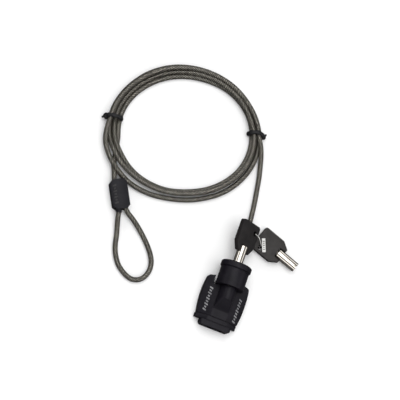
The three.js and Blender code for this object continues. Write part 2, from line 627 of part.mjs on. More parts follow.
// The coil as one plain ring of its outer shape: an oval bundle of turns lying on the table.
function cableCoil() {
  const inner = COIL_INNER_SHARE;
  const edge = 0.03;
  const profile = [[inner + edge, 0], [1 - edge, 0], [1, 2.4], [1, 4.6], [1 - 2 * edge, COIL_H],
    [inner + 2 * edge, COIL_H], [inner, 4.6], [inner, 2.4]];
  return turned(profile, 48).rotateX(TURN).scale(COIL_OUTER[0], COIL_OUTER[1], 1)
    .rotateZ(THREE.MathUtils.degToRad(COIL_HEADING)).translate(COIL_CENTRE[0], COIL_CENTRE[1], 0.05);
}

// Ferrule pieces are drawn along X, then turned into place.
function onFerrule(geometry) {
  return geometry.rotateZ(THREE.MathUtils.degToRad(FERRULE_HEADING))
    .translate(FERRULE_MID[0], FERRULE_MID[1], FERRULE_H / 2 + 0.05);
}

function ferruleCover() {
  const [l, w, h, c] = [FERRULE_L / 2, FERRULE_W / 2, FERRULE_H / 2, FERRULE_CHAMFER];
  const corners = [
    [-l, -w + c], [-l + c, -w], [l - c, -w], [l, -w + c], [l, w - c], [l - c, w], [-l + c, w], [-l, w - c],
  ];
  const outline = new THREE.Shape(corners.map(([x, y]) => new THREE.Vector2(x, y)));
  const ridge = carried([[-w, -h], [w, -h], [w, h - 1.5], [0, h], [-w, h - 1.5]], -l, l).rotateZ(TURN);
  const [bw, bh] = [SLEEVE_W / 2 + GAP, SLEEVE_H / 2 + GAP];
  const tunnel = box([-l - 1, -bw, -bh], [l + 1, bw, bh]);
  return onFerrule(cut(common(slab(outline, -h, h), ridge), tunnel));
}

function crimpSleeve() {
  const [l, w, h] = [SLEEVE_L / 2, SLEEVE_W / 2, SLEEVE_H / 2];
  const body = box([-l, -w, -h], [l, w, h]);
  const bore = (side) => rod(CABLE_R + 0.1, -l - 1, l + 1, side * SLEEVE_BORE_OUT, 0, 16).rotateZ(TURN);
  return onFerrule(cut(body, bore(-1), bore(1)));
}

// A strap round the coil's bundle, open below where the bundle meets the table, and its buckle block.
function tieStrap(heading) {
  const top = COIL_H + 0.4;
  const arc = (half, foot, knee, lean, crown) => [[half, foot], [half, knee], [half - lean, crown]];
  const outer = arc(TIE_HALF, 0.1, TIE_GRIP_Z + 0.4, 3, top + TIE_T);
  const inner = arc(TIE_HALF - TIE_T, 0.1, TIE_GRIP_Z, 2.4, top);
  const mirrored = (points) => points.map(([x, z]) => [-x, z]).reverse();
  const section = [...outer, ...mirrored(outer), ...mirrored(inner).reverse(), ...inner.slice().reverse()];
  return onCoil(carried(section, -TIE_W / 2, TIE_W / 2), heading);
}

function tieHead(heading) {
  const [a, b, c] = TIE_HEAD;
  return onCoil(box([TIE_HALF + GAP, -b / 2, 1.2], [TIE_HALF + GAP + a, b / 2, 1.2 + c]), heading);
}

// Carries a piece drawn across the bundle, +X outwards, to the coil's mid line at a heading in degrees.
function onCoil(geometry, heading) {
  const a = THREE.MathUtils.degToRad(heading);
  const mid = (1 + COIL_INNER_SHARE) / 2;
  const spot = new THREE.Vector3(COIL_OUTER[0] * mid * Math.cos(a), COIL_OUTER[1] * mid * Math.sin(a), 0);
  const turn = Math.atan2(Math.sin(a) / COIL_OUTER[1], Math.cos(a) / COIL_OUTER[0]);
  return geometry.rotateZ(turn).translate(spot.x, spot.y, 0)
    .rotateZ(THREE.MathUtils.degToRad(COIL_HEADING)).translate(COIL_CENTRE[0], COIL_CENTRE[1], 0);
}

// ---- assembly -----------------------------------------------------------------------------------

const lock = new THREE.Group();

const core = new THREE.Group();
core.position.z = AXIS_Z;
core.add(part("flange_collar", flangeCollar(), BLACK_SATIN));
core.add(part("barrel", barrel(), BLACK_SATIN));
core.add(part("cable_terminal", cableTerminal(), STEEL));
core.add(part("stator_case", statorCase(), NICKEL));
core.add(part("rotor", rotor(), BRASS));
core.add(part("driver_block", driverBlock(), BRASS));
const retainer = ring(ROTOR_R, SHAFT_BORE_R, RETAINER_Y1 - RETAINER_T, RETAINER_Y1);
core.add(part("spring_retainer", retainer, BRASS));
pinSpots.forEach(([x, z], i) => {
  core.add(part(`key_pin_${i + 1}`, rod(PIN_R, ROTOR_TOP_Y - KEY_PIN_LENGTH, ROTOR_TOP_Y, x, z, 8), BRASS));
  const driver = rod(PIN_R, DRIVER_Y1 - DRIVER_LENGTH, DRIVER_Y1 - 0.1, x, z, 8);
  core.add(part(`driver_pin_${i + 1}`, driver, STEEL));
  core.add(part(`pin_spring_${i + 1}`, pinSpring([x, z]), STEEL));
});
core.add(part("scroll_cam", scrollCam(), STEEL));
core.add(part("cam_screw", camScrew(), STEEL));
core.add(part("latch_right", latch(), STEEL));
const latchLeft = part("latch_left", latch(), STEEL);
latchLeft.scale.x = -1; // its mirror image
core.add(latchLeft);
lock.add(core);

lock.add(part("housing_top", housingTop(), BLACK_SATIN));
lock.add(part("housing_base", housingBase(), BLACK_SATIN));
SCREW_SPOTS.forEach((spot, i) => lock.add(part(`base_screw_${i + 1}`, baseScrew(spot), STEEL)));
lock.add(part("port_collar", portCollar(), BLACK_SATIN));
lock.add(part("port_block", portBlock(), BLACK_SATIN));

// The key in the lock: its axis points into the lock, and the bow is rolled about it.
const keyInLock = key("key_1");
keyInLock.rotation.set(0, KEY_ROLL + Math.PI, -TURN, "YXZ");
keyInLock.position.set(0, FACE_Y - KEY_INSERTED + KEY_BOW_L + KEY_REACH, AXIS_Z);
lock.add(keyInLock);

const spareKey = key("key_2");
const { degToRad } = THREE.MathUtils;
spareKey.rotation.set(0, degToRad(-KEY_2_PITCH), degToRad(KEY_2_HEADING), "ZYX");
spareKey.position.set(...KEY_2_END);
lock.add(spareKey);

lock.add(part("key_loop", endlessTube(KEY_LOOP_ROUTE, LOOP_WIRE_R, 8, 60), STEEL));
const tag = box([-TAG_W / 2, -TAG_L / 2, 0], [TAG_W / 2, TAG_L / 2, TAG_T]);
lock.add(part("key_tag", tag.rotateZ(TAG_TURN).translate(...TAG_SPOT), WHITE_TAG));

lock.add(part("cable_tail", tube([TAIL_START, ...TAIL_ROUTE], CABLE_R, 10, 26), CLEAR_VINYL));
lock.add(part("cable_coil", cableCoil(), CLEAR_VINYL));
lock.add(part("cable_lead", tube(LEAD_ROUTE, CABLE_R, 10, 3), CLEAR_VINYL));
lock.add(part("cable_loop", tube(LOOP_ROUTE, CABLE_R, 10, 40), CLEAR_VINYL));
lock.add(part("ferrule_cover", ferruleCover(), BLACK_RUBBER));
lock.add(part("crimp_sleeve", crimpSleeve(), STEEL));
[["tie_left", 165.5], ["tie_right", 0]].forEach(([name, heading]) => {
  lock.add(part(name + "_strap", tieStrap(heading), BLACK_RUBBER));
  lock.add(part(name + "_head", tieHead(heading), BLACK_RUBBER));
});

export default lock;
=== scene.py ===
"""Laptop cable lock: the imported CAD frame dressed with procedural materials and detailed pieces.

Metres and +Z up, with the routes and the small pieces given in millimetres.
"""
import json
import math
from collections import namedtuple

import bmesh
import bpy
import numpy as np
from mathutils import Matrix, Vector


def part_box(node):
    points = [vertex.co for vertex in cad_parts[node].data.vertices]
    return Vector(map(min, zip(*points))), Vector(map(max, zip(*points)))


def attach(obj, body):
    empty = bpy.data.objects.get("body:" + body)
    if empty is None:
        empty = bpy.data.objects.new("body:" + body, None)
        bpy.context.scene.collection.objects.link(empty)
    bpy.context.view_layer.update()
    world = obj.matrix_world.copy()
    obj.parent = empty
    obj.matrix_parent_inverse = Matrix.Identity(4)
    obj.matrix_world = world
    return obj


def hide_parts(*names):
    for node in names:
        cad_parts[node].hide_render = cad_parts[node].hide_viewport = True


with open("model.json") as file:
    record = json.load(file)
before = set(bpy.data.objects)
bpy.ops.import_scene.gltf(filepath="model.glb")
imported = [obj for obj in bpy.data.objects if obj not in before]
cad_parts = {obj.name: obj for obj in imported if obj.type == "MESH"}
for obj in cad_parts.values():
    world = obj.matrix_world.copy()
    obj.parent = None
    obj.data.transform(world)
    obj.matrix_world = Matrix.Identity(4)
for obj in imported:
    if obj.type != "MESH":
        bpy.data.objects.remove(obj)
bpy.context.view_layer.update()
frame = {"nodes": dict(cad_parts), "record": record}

MM = 0.001
SPLINE_STEPS = 12  # between two points of a route
BEVEL_SAMPLES = 6

# ---- driving values -----------------------------------------------------------------------------

# Camera: nearly overhead, leaning back a little, its picture turned against the X axis
CAM_TARGET = (-0.05129, 0.08267, 0.0)
CAM_DISTANCE = 1.2
CAM_HEADING = 20.8  # degrees from +X to the picture's right
CAM_LEAN = (-0.235, -0.181)  # how far it leans along the picture's right and up, per unit of height
CAM_VIEW = 17.994  # degrees across the picture
CAM_NEAR = 0.05

# Studio: bright and dark bands round it, by the height of the direction looked in
SKY = [
    (0.0, 0.06), (0.22, 0.08), (0.30, 1.50), (0.54, 1.60),
    (0.60, 0.12), (0.80, 0.12), (0.90, 0.42), (1.0, 0.45),
]
LAMPS = {"key_light": ((-0.36, 0.60, 1.7), 16.0), "fill_light": ((0.62, -0.35, 1.7), 11.0)}  # place, watts
LAMP_SIZE = 1.7
LAMP_TARGET = (-0.04, 0.06, 0.0)
FLOOR_HALF = 3.0
FLOOR_WHITE = (0.975, 0.985)
FLOOR_CLOUD = (6.0, 2.0)
FLOOR_BOUNCE = 0.12  # share of its white that the floor gives back to the object

# Cable
CABLE_D = 0.0048
STRANDS = 8
LAY = 0.023  # one turn of the strands
STRAND_RELIEF = 0.00021
CABLE_SIDES = 40
RING_STEP = 0.0012
ROUTE_SKIP = 3  # every third ring of the cable's path is picked out
WIRE_TURNS = 12.0  # wires seen round the cable, and along one lay
WIRE_LAYS = 26.0
CROWN_SHARE = 0.78  # how much of the relief is the strands', the rest is the wires'
CABLE_BUMP = 0.00016
CABLE_BUMP_STRENGTH = 0.9
# Cable tones from groove to crown: the dark end is painted shade in the grooves between strands and wires
STRAND_TONES_WITH_GROOVE_SHADE = [
    (0.40, (0.0016, 0.0015, 0.0015)), (0.66, (0.010, 0.009, 0.007)), (0.86, (0.085, 0.077, 0.061)),
    (1.0, (0.62, 0.58, 0.49)),
]

# The coil: an oval whose turns are placed by heading, share of the oval and height
COIL_CENTRE = (-0.0888, 0.1368)
COIL_HALF = (0.0748, 0.0653)
COIL_HEADING = 22.4  # degrees from +X to the oval's long axis
COIL_STEP = 10.0  # degrees between the points of the route
LOW = 2.5  # mm, the cable's middle where it lies on the table

# Routes of the free stretches in millimetres: the centre of the cable at each point
TAIL_ROUTE = [
    (3.0, 32.9, 5.7), (3.0, 36.3, 5.7), (2.9, 41, 5.4), (2.7, 47, 5.0), (2.6, 55, 4.4), (1.5, 64.1, 3.6),
    (1.2, 73.2, 2.9), (0.8, 82.2, 2.5), (0, 91.2, 2.5), (-1.2, 101.2, 2.5), (-3, 113.2, 2.5),
    (-4.8, 124.2, 2.5), (-7.2, 134.2, 3.0), (-9.8, 142.6, 4.6), (-13.2, 150.9, 6.5),
]
# heading in degrees along the cable from where the tail joins, share of the oval, height in mm
COIL_ROUTE = [
    (-5, 0.992, 7.3), (12, 0.977, 7.3), (30, 0.966, 7.2), (60, 0.972, 7.1), (90, 0.976, 7.0),
    (132, 0.952, 7.1),
    (165, 0.958, 7.2), (185, 1.012, 5.6), (204, 1.032, 7.3), (222, 1.030, 4.2), (240, 1.014, LOW),
    (262, 0.990, LOW), (285, 0.996, LOW), (300, 1.010, LOW), (335, 1.014, LOW), (352, 1.002, LOW),
    (375, 0.988, LOW), (410, 0.998, LOW), (450, 1.002, LOW), (470, 0.990, LOW), (492, 0.968, LOW),
    (525, 0.958, LOW), (545, 0.948, 2.6), (558, 0.944, 7.3), (573, 0.932, 6.9), (590, 0.921, 6.7),
    (612, 0.917, 6.8), (630, 0.909, 6.9), (655, 0.924, 6.8), (690, 0.936, 6.8), (708, 0.930, 7.0),
    (735, 0.906, 7.1), (765, 0.902, 7.0), (790, 0.916, 5.4), (812, 0.927, LOW), (852, 0.899, LOW),
    (885, 0.895, 2.6), (905, 0.890, 5.4), (913, 0.888, 7.2), (926, 0.878, 5.4), (942, 0.876, LOW),
    (970, 0.878, LOW), (990, 0.868, LOW), (1015, 0.884, LOW), (1050, 0.906, LOW), (1070, 0.908, LOW),
    (1095, 0.912, LOW), (1125, 0.896, LOW), (1150, 0.866, LOW), (1170, 0.855, LOW), (1212, 0.836, LOW),
    (1245, 0.836, LOW), (1260, 0.838, LOW), (1268, 0.858, LOW), (1277, 0.918, LOW), (1285, 0.995, LOW),
]
LEAD_ROUTE = [(-140, 82.1, 2.8), (-138.2, 78.1, 3.7), (-136.7, 73.9, 4.8), (-135, 69.4, 5.25)]
LOOP_ROUTE = [
    (-118.9, 35.7, 4.5), (-116.7, 28.7, 3.2), (-114.2, 20.3, 2.5), (-112.4, 12.2, 2.5), (-109.2, 4.2, 2.5),
    (-103.4, -4.1, 2.5), (-95.4, -9.8, 2.5), (-87.8, -12.3, 2.5), (-81.6, -10.9, 2.5), (-76.9, -6.6, 2.5),
    (-74.3, 0.7, 2.5), (-75.1, 8.9, 2.5), (-79.1, 16.5, 2.5), (-86.2, 24.8, 2.5), (-95.5, 33.1, 3.2),
    (-105, 40, 4.6), (-112.2, 44.3, 5.2),
]

# Ferrule
FERRULE_MID = (-125.4, 57.6, 5.25)
FERRULE_HEADING = -61.4
FERRULE_BORE_OUT = 2.9  # each bore's middle from the ferrule's own
FERRULE_IN = (-8, 0, 8, 15)  # where the cable's route runs along the two bores
FERRULE_BACK = (10, 4, -3, -10)
FERRULE_HALF_L = 14.3
FERRULE_CREST = 5.2  # top of its ridge above its middle
FERRULE_FALL = 1.5 / 8.2  # how fast its two facets fall from the ridge
FERRULE_MARK_OUT = 4.4
# Its tapered collar round the cable
NECK_R = 3.3
NECK_TAPER = 0.8
NECK_CURVE = 0.7
NECK_REACH = 3.4
NECK_SUNK = 0.4
NECK_RINGS = 8
NECK_SIDES = 24

# Rows of slanted bars that stand for markings, in millimetres
Row = namedtuple("Row", "length width count fill slant proud")  # fill: a bar's share of its pitch
WING_ROW = Row(24.0, 3.2, 9, 0.54, 0.35, 0.12)
FERRULE_ROW = Row(19.0, 3.4, 7, 0.6, 0.2, 0.12)
TAG_ROW = Row(9.6, 2.0, 5, 0.34, 0.0, 0.04)
ROW_RHYTHM = (0.5, 0.28, 0.5, 0.36)  # how far the bars reach each way, in turn
MARK_SUNK = 0.25
MARK_ROUND = 0.00004  # m

# Head: the wing's slope, and where the row of marks lies on it
WING_ROOT_X = 7.8
WING_ROOT_Z = 13.2
WING_EDGE_X = 21.0
WING_EDGE_Z = 7.2
MARK_SPOTS = {"left": (-14.6, -4.6), "right": (15.6, -6.0)}

# Real rounding of the hard parts' edges, by node
MERGE = 0.000004
FLAT = 1.0  # degrees between faces that are one face
SHARP = 24.0  # degrees between faces that makes an edge sharp
ROUND_SEGMENTS = 3
ROUNDED = {
    "housing_top": 0.0007, "housing_base": 0.0004, "port_collar": 0.0005, "port_block": 0.0005,
    "barrel": 0.0004, "flange_collar": 0.0004, "key_1_bow": 0.0006, "key_2_bow": 0.0006,
    "ferrule_cover": 0.0007,
}

# Ties: the strap's route as (across the bundle, height), and the twisted knot outside it
COIL_OUTER = (77.1, 67.2)  # the coil's outer half axes
COIL_MIDDLE = 0.9075  # the bundle's middle as a share of them
TIE_ROUTE = [
    (-7.0, 2.1), (-8.6, 3.0), (-9.0, 5.6), (-7.6, 8.8), (-4.0, 10.7), (0.5, 10.9), (4.6, 10.6), (7.6, 9.3),
    (8.9, 6.6), (9.2, 4.4), (9.4, 3.0),
]
TIE_R = 2.0
TIE_FLAT = 0.7
TIE_STEP = 0.0006
TIE_SIDES = 20
TIE_RIPPLE = 0.12
TIE_RIPPLE_RATE = 0.55
TIE_TWIST = 6.5  # radians, how far the two ends wind round each other
TIE_HALF = 9.2  # half the width of that route, before it is fitted to a bundle
Tie = namedtuple("Tie", "heading drift middle half")  # drift along the bundle, its middle and half width
TIES = {"left": Tie(165.5, 0.6, -1.8, 7.4), "right": Tie(-0.5, -3.6, 0.9, 7.2)}
# The strap's two ends, twisted round each other
TIE_KNOT_TUCK = 1.8
TIE_KNOT_OUT = 5.6
TIE_KNOT_SHORTER = 1.6
TIE_KNOT_Z = 4.6
TIE_KNOT_TURN = 1.2
TIE_KNOT_RISE = 0.9
TIE_KNOT_SPREAD = 1.1
TIE_KNOT_RINGS = 26
TIE_KNOT_SIDES = 18
TIE_END_R = 0.95
TIE_SWELL = 1.15
TIE_SWELL_PLACE = 1.12
TIE_SWELL_CURVE = 1.5

TAG_TURN = 0.37  # radians, how the tag lies on the table

# Finishes: dark tone, light tone, roughness, specular level, and the grain's scale where it is finer
MOULDED = {
    "black_satin": ((0.0046, 0.0038, 0.0066), (0.0094, 0.0080, 0.0124), 0.40, 0.16),
    "black_bow": ((0.0110, 0.0100, 0.0105), (0.0190, 0.0170, 0.0170), 0.5, 0.18),
    # the same bow plastic painted lighter and glossier for the second key: painted light
    "bow_painted_light_copy": ((0.0180, 0.0160, 0.0155), (0.0310, 0.0280, 0.0265), 0.46, 0.25),
    "black_rubber": ((0.0060, 0.0058, 0.0085), (0.0110, 0.0105, 0.0140), 0.5, 0.2),
    # a lighter copy of the black rubber for the ferrule's marks: painted highlight on its lit side facet
    "rubber_marks_painted_highlight": ((0.012, 0.011, 0.013), (0.022, 0.021, 0.022), 0.45, 0.3),
    "black_nylon": ((0.0045, 0.0045, 0.0050), (0.0100, 0.0100, 0.0115), 0.42, 0.25),
    "mark_white": ((0.12, 0.12, 0.13), (0.34, 0.34, 0.35), 0.5, 0.3, 5200.0),
    "tag_white": ((0.60, 0.60, 0.58), (0.74, 0.74, 0.72), 0.55, 0.4),
}
METALS = {  # colour, roughness
    "polished_nickel": ((0.78, 0.73, 0.66), 0.07),
    "turned_brass": ((0.66, 0.50, 0.24), 0.25),
    "bright_steel": ((0.62, 0.61, 0.59), 0.25),
}
FINISH_OF_SLOT = {
    "black_metal": "black_satin", "black_plastic": "black_satin", "key_plastic": "black_bow",
    "nickel": "polished_nickel", "brass": "turned_brass", "steel": "bright_steel", "rubber": "black_rubber",
    "nylon": "black_nylon", "tag": "tag_white", "clear_vinyl": "cable_strands",
}
CLOUD = (160.0, 5.0)  # each noise's scale and detail
GLOSS_CLOUD = (420.0, 4.0)
GLOSS_SPREAD = (-0.06, 0.08)
METAL_CLOUD = (300.0, 4.0)
CABLE_CLOUD = (700.0, 4.0)
CABLE_GROOVE_SHADE_AND_CLOUD = (0.78, 0.36)  # how much the relief, as painted shade in the grooves, and the cloud tell in its tone
CABLE_ROUGHNESS = (0.40, 0.24)  # between its wires and on them
TONE_STOPS = (0.3, 0.7)
GRAIN = 0.00003
GRAIN_SCALE = 2600.0
GRAIN_DETAIL = 2.0
GRAIN_STRENGTH = 0.6
SCRATCH_DETAIL = 3.0
SCRATCH_STRENGTH = 0.4
MOULDED_EDGE = 0.0003
METAL_EDGE = 0.0002
METAL_GRAIN = 0.000003
METAL_DARKER = 0.82
METAL_GLOSS = (0.7, 1.3)  # its roughness varies between these shares
EDGE_TINT = (0.06, 0.05, 0.05)  # how much the metals reflect towards their edges


# ---- small tools --------------------------------------------------------------------------------


def smooth_path(points, step):
    """Points on a centripetal spline through the given ones, evenly spaced."""
    p = np.array(points, float)
    p = np.vstack([2 * p[0] - p[1], p, 2 * p[-1] - p[-2]])
    fine = []
    for a, b, c, d in zip(p, p[1:], p[2:], p[3:]):
        t = np.cumsum([0.0] + [max(np.linalg.norm(v - u), 1e-9) ** 0.5 for u, v in ((a, b), (b, c), (c, d))])
        for x in np.linspace(t[1], t[2], SPLINE_STEPS, endpoint=False):
            ab = ((t[1] - x) * a + (x - t[0]) * b) / (t[1] - t[0])
            bc = ((t[2] - x) * b + (x - t[1]) * c) / (t[2] - t[1])
            cd = ((t[3] - x) * c + (x - t[2]) * d) / (t[3] - t[2])
            abc = ((t[2] - x) * ab + (x - t[0]) * bc) / (t[2] - t[0])
            bcd = ((t[3] - x) * bc + (x - t[1]) * cd) / (t[3] - t[1])
            fine.append(((t[2] - x) * abc + (x - t[1]) * bcd) / (t[2] - t[1]))
    fine = np.array(fine + [p[-2]])
    along = np.concatenate([[0], np.cumsum(np.linalg.norm(np.diff(fine, axis=0), axis=1))])
    count = max(2, int(round(along[-1] / step)) + 1)
    at = np.linspace(0, along[-1], count)
    return np.stack([np.interp(at, along, fine[:, k]) for k in range(3)], 1)


def carried_frames(path):
    """Two side directions at each point of a path, carried along without twist."""
    tangents = np.gradient(path, axis=0)
    tangents /= np.linalg.norm(tangents, axis=1)[:, None]
    side = np.cross(tangents[0], (0.0, 0.0, 1.0))
    if np.linalg.norm(side) < 1e-6:
        side = np.array((1.0, 0.0, 0.0))
    sides = []
    for t in tangents:
        side = side - t * (side @ t)
        side = side / np.linalg.norm(side)
        sides.append(side)
    sides = np.array(sides)
    return sides, np.cross(tangents, sides)


def new_object(name, mesh):
    """An object of its own in the scene, for a mesh."""
    made = bpy.data.objects.new(name, mesh)
    bpy.context.scene.collection.objects.link(made)
    return made


def swept(name, path, radius, sides, lay=None, lobes=0, relief=0.0, flat=1.0):
    """A tube along a path with closed ends. Lobes twist round it once per lay.

    Its UV map counts turns and lays.
    A flat share below 1 presses the section into a strap.
    """
    right, up = carried_frames(path)
    along = np.concatenate([[0], np.cumsum(np.linalg.norm(np.diff(path, axis=0), axis=1))])
    turn = np.arange(sides) / sides
    angle = 2 * math.pi * turn
    radii = np.broadcast_to(np.asarray(radius, float), (len(path),))
    vertices = []
    for i, centre in enumerate(path):
        twist = along[i] / lay if lay else 0.0
        r = radii[i] - relief * (1 - np.abs(np.sin(math.pi * lobes * (turn - twist)))) if lobes else radii[i]
        ring = np.outer(r * np.cos(angle), right[i]) + np.outer(r * flat * np.sin(angle), up[i])
        vertices.append(centre + ring)
    vertices = np.concatenate(vertices)
    faces, coordinates = [], []
    for i in range(len(path) - 1):
        v0, v1 = (along[i] / lay, along[i + 1] / lay) if lay else (along[i], along[i + 1])
        for j in range(sides):
            k = (j + 1) % sides
            faces.append((i * sides + j, i * sides + k, (i + 1) * sides + k, (i + 1) * sides + j))
            coordinates += [(j / sides, v0), ((j + 1) / sides, v0), ((j + 1) / sides, v1), (j / sides, v1)]
    for ring, flip in ((0, True), (len(path) - 1, False)):
        cap = [ring * sides + j for j in range(sides)]
        faces.append(tuple(reversed(cap)) if flip else tuple(cap))
        coordinates += [(0.0, 0.0)] * sides
    mesh = bpy.data.meshes.new(name)
    mesh.from_pydata([tuple(v) for v in vertices], [], faces)
    layer = mesh.uv_layers.new(name="Lay")
    layer.data.foreach_set("uv", np.array(coordinates, np.float32).ravel())
    mesh.polygons.foreach_set("use_smooth", [True] * len(mesh.polygons))
    mesh.update()
    return new_object(name, mesh)


# ---- material tools -----------------------------------------------------------------------------


class Paint:
    """A node material under construction."""

    def __init__(self, name):
        self.material = bpy.data.materials.new(name)
        self.material.use_nodes = True
        self.nodes = self.material.node_tree.nodes
        self.links = self.material.node_tree.links
        self.shader = self.nodes["Principled BSDF"]

    def set(self, **values):
        for key, value in values.items():
            self.shader.inputs[key.replace("_", " ")].default_value = value
        return self

    def node(self, kind, **inputs):
        made = self.nodes.new(kind)
        for key, value in inputs.items():
            if key in made.inputs:
                self.feed(made.inputs[key], value)
            else:
                setattr(made, key, value)
        return made

    def feed(self, socket, value):
        if isinstance(value, bpy.types.NodeSocket):
            self.links.new(value, socket)
        else:
            socket.default_value = value

    def math(self, operation, a, b=0.0):
        made = self.nodes.new("ShaderNodeMath")
        made.operation = operation
        self.feed(made.inputs[0], a)
        self.feed(made.inputs[1], b)
        return made.outputs[0]

    def noise(self, scale, detail=3.0, coordinates=None):
        made = self.node("ShaderNodeTexNoise", Scale=scale, Detail=detail)
        source = coordinates or self.node("ShaderNodeTexCoord").outputs["Object"]
        self.links.new(source, made.inputs["Vector"])
        return made.outputs["Fac"]

    def ramp(self, value, stops):
        made = self.nodes.new("ShaderNodeValToRGB")
        self.links.new(value, made.inputs["Fac"])
        elements = made.color_ramp.elements
        while len(elements) < len(stops):
            elements.new(0.5)
        for element, (position, colour) in zip(elements, stops):
            element.position = position
            element.color = (*colour, 1.0) if len(colour) == 3 else colour
        return made.outputs["Color"]

    def between(self, value, low, high):
        made = self.node("ShaderNodeMapRange")
        self.links.new(value, made.inputs["Value"])
        made.inputs["To Min"].default_value = low
        made.inputs["To Max"].default_value = high
        return made.outputs["Result"]

    def bump(self, height, distance, strength=1.0, normal=None):
        made = self.node("ShaderNodeBump", Strength=strength, Distance=distance)
        self.links.new(height, made.inputs["Height"])
        if normal is not None:
            self.links.new(normal, made.inputs["Normal"])
        return made.outputs["Normal"]

    def rounded(self, radius):
        made = self.node("ShaderNodeBevel", Radius=radius)
        made.samples = BEVEL_SAMPLES
        return made.outputs["Normal"]

    def to(self, socket, value):
        self.feed(self.shader.inputs[socket], value)
        return self


def moulded(name, dark, light, roughness, specular, grain_scale=GRAIN_SCALE):
    """Moulded or painted surface: mottled colour and gloss, fine grain, rounded edges."""
    p = Paint(name)
    p.set(Specular_IOR_Level=specular)
    p.to("Base Color", p.ramp(p.noise(*CLOUD), list(zip(TONE_STOPS, (dark, light)))))
    p.to("Roughness", p.between(p.noise(*GLOSS_CLOUD), *(roughness + change for change in GLOSS_SPREAD)))
    p.to("Normal", p.bump(p.noise(grain_scale, GRAIN_DETAIL), GRAIN, GRAIN_STRENGTH, p.rounded(MOULDED_EDGE)))
    return p.material


def metal(name, colour, roughness):
    """Polished or turned metal: clouded colour, uneven gloss and fine scratches."""
    p = Paint(name)
    p.set(Metallic=1.0, Specular_Tint=(*EDGE_TINT, 1.0))
    darker = tuple(c * METAL_DARKER for c in colour)
    p.to("Base Color", p.ramp(p.noise(*METAL_CLOUD), list(zip(TONE_STOPS, (darker, colour)))))
    scratches = p.noise(GRAIN_SCALE, SCRATCH_DETAIL)
    p.to("Roughness", p.between(scratches, *(roughness * share for share in METAL_GLOSS)))
    p.to("Normal", p.bump(scratches, METAL_GRAIN, SCRATCH_STRENGTH, p.rounded(METAL_EDGE)))
    return p.material


def cable_material():
    """Clear vinyl over twisted steel strands: the strands' lay and wires by UV, painted shade in the grooves
    between them, a glossy coat on top.
    """
    p = Paint("cable_strands")
    p.set(Metallic=0.45, Coat_Weight=0.3, Coat_Roughness=0.08, Coat_IOR=1.45, Specular_IOR_Level=0.4)
    lay = p.node("ShaderNodeUVMap", uv_map="Lay").outputs["UV"]
    split = p.node("ShaderNodeSeparateXYZ")
    p.links.new(lay, split.inputs[0])
    turn, laid = split.outputs["X"], split.outputs["Y"]
    strand = p.math("MULTIPLY", p.math("SUBTRACT", turn, laid), float(STRANDS))
    crown = p.math("ABSOLUTE", p.math("SINE", p.math("MULTIPLY", strand, math.pi)))
    wire = p.math("ADD", p.math("MULTIPLY", turn, WIRE_TURNS), p.math("MULTIPLY", laid, WIRE_LAYS))
    wires = p.math("ABSOLUTE", p.math("SINE", p.math("MULTIPLY", wire, math.pi)))
    height = p.math("ADD", p.math("MULTIPLY", crown, CROWN_SHARE), p.math("MULTIPLY", wires, 1 - CROWN_SHARE))
    # painted shade: the tone darkens where the relief sinks between the strands and wires
    groove_shade_tone = p.math("MULTIPLY", height, CABLE_GROOVE_SHADE_AND_CLOUD[0])
    value = p.math("ADD", groove_shade_tone, p.math("MULTIPLY", p.noise(*CABLE_CLOUD), CABLE_GROOVE_SHADE_AND_CLOUD[1]))
    p.to("Base Color", p.ramp(value, STRAND_TONES_WITH_GROOVE_SHADE))
    p.to("Roughness", p.between(wires, *CABLE_ROUGHNESS))
    p.to("Normal", p.bump(height, CABLE_BUMP, CABLE_BUMP_STRENGTH))
    return p.material


def floor_material():
    """White, and dimmer to what stands on it, so that the parts' undersides and edges stay dark."""
    p = Paint("pale_floor")
    p.set(Roughness=0.9, Specular_IOR_Level=0.1)
    seen = p.node("ShaderNodeLightPath").outputs["Is Camera Ray"]
    white = p.between(p.noise(*FLOOR_CLOUD), *FLOOR_WHITE)
    p.to("Base Color", p.math("MULTIPLY", white, p.between(seen, FLOOR_BOUNCE, 1.0)))
    return p.material


# ---- camera -------------------------------------------------------------------------------------


def add_camera():
    """The camera, rolled until its picture is turned evenly against the heading across and up."""
    heading = math.radians(CAM_HEADING)
    u = Vector((math.cos(heading), math.sin(heading), 0.0))
    v = Vector((-u.y, u.x, 0.0))
    back = (u * CAM_LEAN[0] + v * CAM_LEAN[1] + Vector((0, 0, 1))).normalized()
    up = (v - back * v.dot(back)).normalized()
    right = up.cross(back)
    level = u - back * u.dot(back)
    roll = 0.5 * math.atan2(level.dot(up), level.dot(right))
    right, up = (
        right * math.cos(roll) + up * math.sin(roll),
        up * math.cos(roll) - right * math.sin(roll),
    )
    camera = bpy.data.objects.new("camera", bpy.data.cameras.new("camera"))
    bpy.context.scene.collection.objects.link(camera)
    place = Matrix((right, up, back)).transposed().to_4x4()
    place.translation = Vector(CAM_TARGET) + back * CAM_DISTANCE
    camera.matrix_world = place
    camera.data.angle = math.radians(CAM_VIEW)
    camera.data.clip_start = CAM_NEAR
    bpy.context.scene.camera = camera


# ---- cable --------------------------------------------------------------------------------------


def on_oval(heading, share, height):
    """A point of the coil, in millimetres."""
    a, turn = math.radians(heading), math.radians(COIL_HEADING)
    x, y = COIL_HALF[0] * share * math.cos(a), COIL_HALF[1] * share * math.sin(a)
    return (
        COIL_CENTRE[0] / MM + (x * math.cos(turn) - y * math.sin(turn)) / MM,
        COIL_CENTRE[1] / MM + (x * math.sin(turn) + y * math.cos(turn)) / MM,
        height,
    )


